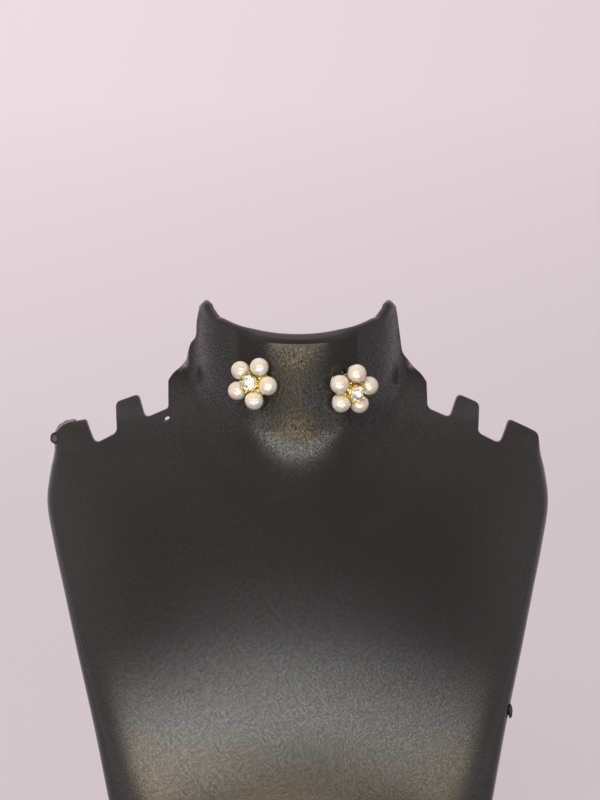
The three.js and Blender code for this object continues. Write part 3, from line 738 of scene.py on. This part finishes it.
def flash_strip():
    """A thin strip of flash over the left shoulder's corner: an uneven oval run along a curve."""
    curve = smooth_curve(FLASH_STRIP, count=40)
    share = np.linspace(0, 1, len(curve))[:, None]
    tangent = unit(np.gradient(curve, axis=0))
    phi = round_angles(12)
    taper = np.sqrt(np.sin(np.pi * share))
    wide = STRIP_HALF_WIDTH * taper * (1 + 0.15 * np.sin(23 * share) + 0.1 * np.sin(51 * share))
    depth = NECK_FRONT_Y + front_depth(curve[:, :1] * FLASH_SHARE, curve[:, 1:]) + STRIP_SET_BACK
    x = curve[:, :1] - tangent[:, 1:] * wide * np.cos(phi)
    z = curve[:, 1:] + tangent[:, :1] * wide * np.cos(phi)
    y = depth + STRIP_HALF_DEPTH * np.sin(phi) * taper
    return grid(columns(x, y, z), closed=True)


def stud_frame(stud):
    """The stud's rotation, turned about Z and tipped about its own X, and its middle."""
    tip = math.radians(90 - stud["tip"])
    c, s = math.cos(tip), math.sin(tip)
    about_x = np.array([[1, 0, 0], [0, c, -s], [0, s, c]])
    facing = rotation_z(math.radians(stud["turn"])) @ about_x
    hole = front_point(stud["across"], stud["up"])
    return facing, hole + facing @ np.array([0, -POST_OFFSET, stud["stand_off"]])


def placed(points, stud):
    """Points of a stud's own frame in the row's frame."""
    facing, origin = stud_frame(stud)
    return points @ facing.T + origin


def hole_tools():
    """The post holes, as rods through the neck, and the slot, as a capsule through the shoulder."""
    parts = []
    reach = POST_HOLE_REACH
    rod = [[0, -reach], [POST_HOLE_RADIUS, -reach], [POST_HOLE_RADIUS, reach], [0, reach]]
    for stud in STUDS.values():
        points, faces = turned(rod, sides=32)
        parts.append((placed(points + [0, POST_OFFSET, -stud["stand_off"]], stud), faces))
    angle = round_angles(24)
    half = (SLOT_LENGTH - SLOT_WIDTH) / 2
    u = np.cos(angle) * SLOT_WIDTH / 2 + half * np.sign(np.cos(angle))
    v = np.sin(angle) * SLOT_WIDTH / 2
    c, s = math.cos(math.radians(SLOT_TILT)), math.sin(math.radians(SLOT_TILT))
    outline = columns(SLOT_ACROSS + u * c - v * s, SLOT_UP + u * s + v * c)
    middle = front_point(SLOT_ACROSS, SLOT_UP)[1]
    parts.append(extruded(outline, middle - SLOT_REACH, middle + SLOT_REACH))
    return join_parts(parts)


def bust():
    """The bust sheet with the post holes and the slot cut out, shaded by its exact normals."""
    points, faces, known, grain = bust_sheet()
    sheet = make_mesh("bust_moulding", points, faces, BLACK_PLASTIC)
    set_values(sheet, "grain", "FLOAT", "value", grain)
    set_values(sheet, "known_normal", "FLOAT_VECTOR", "vector", known)
    tool = make_mesh("hole_tools", *hole_tools(), BLACK_PLASTIC)
    cut = sheet.modifiers.new("holes", "BOOLEAN")
    cut.operation, cut.solver, cut.object = "DIFFERENCE", "MANIFOLD", tool
    evaluated = sheet.evaluated_get(bpy.context.evaluated_depsgraph_get())
    mesh = bpy.data.meshes.new_from_object(evaluated)
    sheet.modifiers.clear()
    sheet.data = mesh
    bpy.data.objects.remove(tool)
    mesh.set_sharp_from_angle(angle=math.radians(SHARP_ANGLE))
    normals = np.zeros(len(mesh.vertices) * 3, np.float32)
    mesh.attributes["known_normal"].data.foreach_get("vector", normals)
    normals = normals.reshape(-1, 3)
    # Where the tools cut, the kept normals aren't whole, and Blender's own stand in.
    normals[np.linalg.norm(normals, axis=1) < WHOLE_NORMAL] = 0
    mesh.normals_split_custom_set_from_vertices(normals.tolist())
    return sheet


def finish_piece(piece, slot, *nodes):
    """The piece rides on the one body and stands for its CAD nodes, which it hides. The slot is not
    used.
    """
    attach(piece, "root")
    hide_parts(*nodes)


# ---- The prop leg ----


def prop_leg():
    """A strap from the floor to a pad behind the chest: its side profile run across."""
    low, high, thick = LEG_PAD_LOW, LEG_PAD_HIGH, LEG_THICK
    foot = NECK_FRONT_Y + LEG_FOOT_BACK

    def behind(up):
        places = back_point(np.array([0.0, LEG_HALF_WIDTH]), np.full(2, up), np.zeros(2))
        return float(places[:, 1].max()) + SEAT_GAP

    def strap(share, offset):
        return [foot + (behind(high) + thick - foot) * share - offset, high * share]

    slanted = thick * LEG_SLANT
    profile = np.array([
        strap(0, slanted), strap(0, 0), strap(1, 0), [behind(high), high], [behind(low), low],
        [behind(low) + thick, low], strap(low / high, slanted),
    ])
    points, faces = extruded(profile, -LEG_HALF_WIDTH, LEG_HALF_WIDTH)
    # The profile's depth runs along Y, so two axes change places.
    points, faces = points[:, [1, 0, 2]], [group[:, ::-1] for group in faces]
    piece = make_mesh("prop_leg_moulding", points, faces, BLACK_PLASTIC, smooth=False)
    ease = piece.modifiers.new("eased_edges", "BEVEL")
    ease.width, ease.segments = LEG_EASE * MM, 3
    set_values(piece, "grain", "FLOAT", "value", np.ones(len(piece.data.vertices)))
    return piece


finish_piece(bust(), "bust_plastic", "bust_shell")
finish_piece(prop_leg(), "bust_plastic", "prop_leg")
lumps = join_parts([uneven_lump(*size) for size in FLASH_LUMPS])
finish_piece(make_mesh("mould_flash_lumps", *lumps, TORN_FLASH), "bust_plastic")
finish_piece(make_mesh("mould_flash_strip", *flash_strip(), BENT_FLASH), "bust_plastic")

# ---- The studs ----


def pearl(angle):
    """A ball: half a circle turned about Z."""
    points, faces = turned(half_circle(rows=37) * PEARL_RADIUS, sides=72)
    return points + [PEARL_RING * math.cos(angle), PEARL_RING * math.sin(angle), 0], faces


def wire(points, radii, angle):
    """A round wire in the plane of the stud's axis at an angle: rings square to its curve."""
    tangent = unit(np.gradient(points, axis=0))
    outward = columns(tangent[:, 1], -tangent[:, 0])
    phi = round_angles(14)
    radial = points[:, :1] + radii[:, None] * np.cos(phi) * outward[:, :1]
    height = points[:, 1:] + radii[:, None] * np.cos(phi) * outward[:, 1:]
    sideways = radii[:, None] * np.sin(phi)
    x = radial * math.cos(angle) - sideways * math.sin(angle)
    y = radial * math.sin(angle) + sideways * math.cos(angle)
    return grid(columns(x, y, height), closed=True)


def beaded_wire(curve, radius, angle):
    """A wire whose last stretch swells into a bead: the bead's circle is blended into the wire."""
    line = smooth_curve(curve, count=60)
    along = run_length(line)
    left = along[-1] - along
    ball = np.sqrt(np.maximum(BEAD_RADIUS ** 2 - (left - BEAD_RADIUS) ** 2, 0))
    radii = np.where(left < BEAD_RADIUS, ball, np.maximum(ball, radius))
    radii[0] = 0
    return wire(line, radii, angle)


def plate():
    """The back plate: a hub and five lobes, its edge the soft maximum of both, its rims rounded."""
    theta = round_angles(180)
    pitch = 2 * np.pi / PEARL_COUNT
    off = (theta + np.pi / PEARL_COUNT) % pitch - np.pi / PEARL_COUNT
    reach = PLATE_LOBE_RADIUS ** 2 - (PEARL_RING * np.sin(off)) ** 2
    lobe = PEARL_RING * np.cos(off) + np.sqrt(np.maximum(reach, 0))
    lobe = np.where(reach > 0, lobe, 0)
    edge = (PLATE_HUB_RADIUS ** PLATE_BLEND + lobe ** PLATE_BLEND) ** (1 / PLATE_BLEND)
    low, high, ease, middle = PLATE_BOTTOM, PLATE_TOP, PLATE_EASE, PLATE_EASE_MIDDLE
    # Rings from the lower middle to the upper one: share of the edge, inset and height.
    share, inset, height = np.transpose([
        (0, 0, low), (1, -ease, low), (1, -middle, low + middle), (1, 0, low + ease),
        (1, 0, high - ease), (1, -middle, high - middle), (1, -ease, high), (0, 0, high),
    ])[..., None]
    reach = edge * share + inset
    points = columns(reach * np.cos(theta), reach * np.sin(theta), height)
    return grid(points, closed=True)


def setting(spin):
    """The soldered setting: plate, cup, beaded claws and prongs, and the post."""
    plate_points, plate_faces = plate()
    post_points, post_faces = turned(POST_PROFILE, sides=32)
    claws = [spin + (2 * math.pi * i) / CLAW_COUNT for i in range(CLAW_COUNT)]
    prongs = [spin + (2 * math.pi * (i + 0.5)) / PEARL_COUNT for i in range(PEARL_COUNT)]
    return join_parts([
        (plate_points @ rotation_z(spin).T, plate_faces),
        turned(CUP_PROFILE, sides=64),
        *[beaded_wire(CLAW_CURVE, CLAW_RADIUS, angle) for angle in claws],
        *[beaded_wire(PRONG_CURVE, PRONG_RADIUS, angle) for angle in prongs],
        (post_points + [0, POST_OFFSET, PLATE_BOTTOM - POST_LENGTH], post_faces),
    ])


def brilliant():
    """A round brilliant: table, stars, kites and girdle facets above, mains and more below."""

    def ring(sides, turn, share, height):
        angle, radius = round_angles(sides) + turn * np.pi / 8, STONE_RADIUS * share
        return columns(radius * np.cos(angle), radius * np.sin(angle), height)

    points = np.concatenate([ring(*row) for row in STONE_RINGS]) + [0, 0, STONE_GIRDLE_HEIGHT]
    eight, sixteen = np.arange(8), np.arange(16)
    table, crown, top, bottom, pavilion = eight, 8 + eight, 16 + sixteen, 32 + sixteen, 48 + eight
    point, nxt, prv = 56, (eight + 1) % 8, (eight - 1) % 8
    # Every second point of the girdle lies under a point of the table.
    under, beside, after = 2 * eight, 2 * eight + 1, (2 * eight + 2) % 16
    return points, [
        table[None], columns(table, crown, table[nxt]),
        columns(table, crown[prv], top[under], crown), columns(crown, top[under], top[beside]),
        columns(crown, top[beside], top[after]),
        grid_faces(np.stack([bottom, top]), closed=True),
        columns(pavilion, bottom[beside], bottom[under]),
        columns(pavilion, bottom[after], bottom[beside]),
        columns(point, pavilion, bottom[under], pavilion[prv]),
    ]


def foil():
    """The foil on the stone's back: a thin cone turned just outside the pavilion."""
    return turned(FOIL_PROFILE + [0, STONE_GIRDLE_HEIGHT - FOIL_DROP], sides=64)


def ear_nut(depth):
    """A plain turned nut with a rounded flange, bored through."""
    points, faces = turned(NUT_PROFILE, sides=56)
    return points + [0, POST_OFFSET, -depth], faces


def stud_mesh(name, side, part, material, smooth=True):
    """A part of a stud, moved from the stud's own frame into the row's frame."""
    points, faces = part
    return make_mesh(name, placed(points, STUDS[side]), faces, material, smooth)


for side, stud in STUDS.items():
    spin = math.radians(stud["spin"])
    for i in range(PEARL_COUNT):
        ball = pearl(spin + (2 * math.pi * i) / PEARL_COUNT)
        piece = stud_mesh(f"faux_pearl_{side}_{i + 1}", side, ball, PEARL_COATING)
        finish_piece(piece, "pearl", f"pearl_{side}_{i + 1}")
    piece = stud_mesh(f"gold_setting_{side}", side, setting(spin), GOLD_PLATE)
    finish_piece(piece, "gold", f"setting_{side}")
    piece = stud_mesh(f"crystal_{side}", side, brilliant(), CUT_CRYSTAL, smooth=False)
    finish_piece(piece, "crystal", f"stone_{side}")
    piece = stud_mesh(f"foil_{side}", side, foil(), SILVER_FOIL)
    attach(piece, "root")
    nut = ear_nut(stud["stand_off"] + WALL + stud["nut_gap"])
    piece = stud_mesh(f"gold_ear_nut_{side}", side, nut, GOLD_PLATE)
    finish_piece(piece, "gold", f"ear_nut_{side}")

# ---- Studio ----

BOWL_FLAT, BOWL_SWEEP, BOWL_TOP = 1600.0, 1200.0, 2600.0
# The soft window's sphere: its radius, its centre's height, and how far below it the floor is.
WINDOW_RADIUS, WINDOW_HEIGHT, WINDOW_TO_FLOOR = 2200.0, 170, 168.0
# The window's glow, in degrees. Its arch's edges bend with the square of the azimuth.
ARCH_TOP, ARCH_TOP_BEND, ARCH_SOFTENING = 29.4, 0.0068, 0.05
ARCH_LOW, ARCH_LOW_BEND = 20.2, 0.0095
ARCH_ENDS = (52, 64)
ARCH_GLOW, ARCH_DIMMING = 4.85, 1.75
LOW_GLOW, LOW_GLOW_MIDDLE, LOW_GLOW_WIDTH = 0.85, -1, 20
TABLE_GLOW, TABLE_LOW, TABLE_BEND = 4.5, -50, 0.0125
WARM, COOL = np.array([1.0, 0.74, 0.42]), np.array([0.97, 0.97, 0.96])
TABLE_COLOUR, ROOM_COLOUR = np.array([1.0, 0.97, 0.92]), np.array([1.0, 0.88, 0.92])
# The room's own glow, and what is added at the sides, behind and high up.
ROOM_GLOW, SIDE_GLOW, BACK_GLOW, HIGH_GLOW = 0.05, 0.33, 0.24, 0.15
# The flat cards' distance across, and the curved ones' radius and middle.
FLAT_CARD_ACROSS = 26
CURVED_CARD_RADIUS, CURVED_CARD_Y = 60, 6


def studio_bowl():
    """A pale floor that sweeps up all round into a wall: its section turned. It glows with painted
    light.
    """
    t = np.linspace(0, np.pi / 2, 24)[1:]
    profile = np.concatenate([
        [[0, 0]], columns(np.linspace(40, BOWL_FLAT, 12), 0),
        columns(BOWL_FLAT + BOWL_SWEEP * np.sin(t), BOWL_SWEEP - BOWL_SWEEP * np.cos(t)),
        [[BOWL_FLAT + BOWL_SWEEP, BOWL_TOP]],
    ])
    material, tree, shader = new_material("glowing_studio_sweep", {
        "Base Color": linear("#6e6a6c"), "Roughness": 1.0, "Specular IOR Level": 0.0,
    })
    place = add_node(tree, "TexCoord").outputs["Object"]
    parts = add_node(tree, "SeparateXYZ", {"Vector": place}).outputs

    def ranged(axis, low, high, start=0.0, end=1.0):
        limits = {"From Min": low, "From Max": high, "To Min": start, "To Max": end}
        return add_node(tree, "MapRange", {"Value": parts[axis]}, limits).outputs["Result"]

    # The sweep glows: its emitted colour is painted light, darker near the floor and paler higher
    # up.
    ramp = add_node(tree, "ValToRGB", {"Fac": ranged("Z", 0.0, 0.9)})
    stops = ramp.color_ramp.elements
    stops[0].color = linear("#c6bbbf")
    stops[1].color = linear("#dbccd0")
    for position, colour in ((0.12, "#c9bdc1"), (0.42, "#d1c4c9"), (0.68, "#dacbcf")):
        stops.new(position).color = linear(colour)
    tree.links.new(ramp.outputs["Color"], shader.inputs["Emission Color"])
    # The light falls off a little from left to right, and on the floor towards the front.
    across, along = ranged("X", -0.6, 0.6, 1.04, 0.93), ranged("Y", 0.0, 1.6, 0.87, 1.0)
    both = add_node(tree, "Math", {0: across, 1: along}, operation="MULTIPLY")
    tree.links.new(both.outputs[0], shader.inputs["Emission Strength"])
    make_mesh("studio_sweep", *turned(profile, sides=96), material)


def window_glow(az, el):
    """The soft window's colour by azimuth and elevation: cool above and warm below."""
    aside = np.abs(az)
    # The upper part: an arch, brighter on the left, and a small glow low in its dimmer middle.
    top, soft = ARCH_TOP - ARCH_TOP_BEND * az ** 2, ARCH_SOFTENING * aside
    arch = fall(el, top - 4 - soft, top + 3 + soft)
    arch = arch * (ARCH_GLOW - ARCH_DIMMING * climb(az, -25, 60))
    low_edge = ARCH_LOW - ARCH_LOW_BEND * az ** 2
    low_glow = LOW_GLOW * np.exp(-((az - LOW_GLOW_MIDDLE) / LOW_GLOW_WIDTH) ** 2)
    low_glow = low_glow * climb(el, 2, 12) * fall(el, 12, 18.5)
    arch = arch * (climb(el, low_edge - 6, low_edge + 5) + low_glow)
    arch = arch * climb(el, -1, 4) * fall(aside, *ARCH_ENDS)
    mix = climb(el + 0.34 * np.maximum(aside - 15, 0), 9, 28)[..., None]
    # The lower part is the lit table in front, seen only by the studs.
    low = TABLE_LOW + TABLE_BEND * az ** 2
    table = climb(el, low, low + 6) * fall(el, -5, -2) * fall(aside, 50, 60)
    sides = climb(aside, 35, 75) * (1 - 0.7 * climb(el, 20, 50))
    room = ROOM_GLOW + SIDE_GLOW * sides + BACK_GLOW * climb(aside, 95, 130)
    room = room + HIGH_GLOW * climb(el, 30, 55) * climb(aside, 20, 45)
    glow = (WARM * (1 - mix) + COOL * mix) * arch[..., None]
    return glow + TABLE_COLOUR * TABLE_GLOW * table[..., None] + room[..., None] * ROOM_COLOUR


def glossy_only(piece):
    """A studio piece that only reflections see."""
    piece.visible_camera = piece.visible_diffuse = piece.visible_shadow = False


def soft_window():
    """The big soft light in front: part of a sphere round the neck, laid on the floor below."""
    az = np.radians(np.linspace(-130, 130, 175))[None, :]
    el = np.radians(np.linspace(-60, 88, 149))[:, None]
    reach = np.minimum(WINDOW_RADIUS, WINDOW_TO_FLOOR / np.maximum(np.sin(-el), 0.01))
    level = reach * np.cos(el)
    points = columns(level * np.sin(az), -level * np.cos(az), WINDOW_HEIGHT + reach * np.sin(el))
    glow = window_glow(np.degrees(az), np.degrees(el)).reshape(-1, 3)
    material, tree, shader = new_material("soft_window_light")
    tree.nodes.remove(shader)
    colour = add_node(tree, "Attribute", attribute_name="glow").outputs["Color"]
    light = add_node(tree, "Emission", {"Color": colour}, {"Strength": 1.0})
    tree.links.new(light.outputs[0], tree.nodes["Material Output"].inputs["Surface"])
    window = make_mesh("soft_window", *grid(points), material)
    set_values(window, "glow", "FLOAT_COLOR", "color", columns(*glow.T, 1))
    glossy_only(window)


def card_material():
    """Black card as a flat dark glow, clear where the card's cover runs out."""
    material, tree, shader = new_material("black_flag_card")
    tree.nodes.remove(shader)
    cover = add_node(tree, "Attribute", attribute_name="cover").outputs["Fac"]
    clear = add_node(tree, "BsdfTransparent").outputs[0]
    dark = {"Color": linear("#5f5759"), "Strength": 1.0}
    dark = add_node(tree, "Emission", inputs=dark).outputs[0]
    mixed = add_node(tree, "MixShader", {0: cover, 1: clear, 2: dark})
    tree.links.new(mixed.outputs[0], tree.nodes["Material Output"].inputs["Surface"])
    return material


def flag_cards():
    """Dark cards clear towards their edges, seen only by glossy surfaces: two flat ones keep the
    soft light off the neck's sides, and two low curved ones off the throat's."""
    depth = np.linspace(-50, 10, 41)[None, :]
    height = np.linspace(169, 200, 32)[:, None]
    flat_cover = climb(height, 169, 174) * fall(height, 194, 200)
    flat_cover = climb(depth, -50, -8) * flat_cover
    azimuth = np.radians(np.linspace(26, 72, 47))[None, :]
    low = np.linspace(156, 178, 23)[:, None]
    low_cover = climb(low, 156, 161) * fall(low, 164, 178)
    curved_cover = climb(np.degrees(azimuth), 28, 42) * low_cover
    material = card_material()
    for name, side in (("left", -1), ("right", 1)):
        across = side * CURVED_CARD_RADIUS * np.sin(azimuth)
        curved_depth = CURVED_CARD_Y - CURVED_CARD_RADIUS * np.cos(azimuth)
        for kind, cover, places in (
            ("flat", flat_cover, (side * FLAT_CARD_ACROSS, depth, height)),
            ("curved", curved_cover, (across, curved_depth, low)),
        ):
            card = make_mesh(f"flag_card_{kind}_{name}", *grid(columns(*places)), material)
            set_values(card, "cover", "FLOAT", "value", cover)
            card.visible_transmission = False
            glossy_only(card)


studio_bowl()
soft_window()
flag_cards()

# A square soft light in front of the bust, aimed at its middle.
data = bpy.data.lights.new("front_soft_light", "AREA")
data.shape, data.size, data.energy, data.color = "SQUARE", 0.6, 7.0, linear("#fff4ea")[:3]
lamp = bpy.data.objects.new("front_soft_light", data)
lamp.location = (-0.25, -0.75, 0.75)
aim = Vector((0, 0, 0.12)) - lamp.location
lamp.rotation_euler = aim.to_track_quat("-Z", "Y").to_euler()
lamp.visible_glossy = False
bpy.context.collection.objects.link(lamp)

world = bpy.data.worlds.new("studio_air")
world.use_nodes = True
air = world.node_tree.nodes["Background"].inputs
air["Color"].default_value, air["Strength"].default_value = linear("#e6dcdf"), 0.9
bpy.context.scene.world = world
bpy.context.scene.view_settings.view_transform = "Standard"
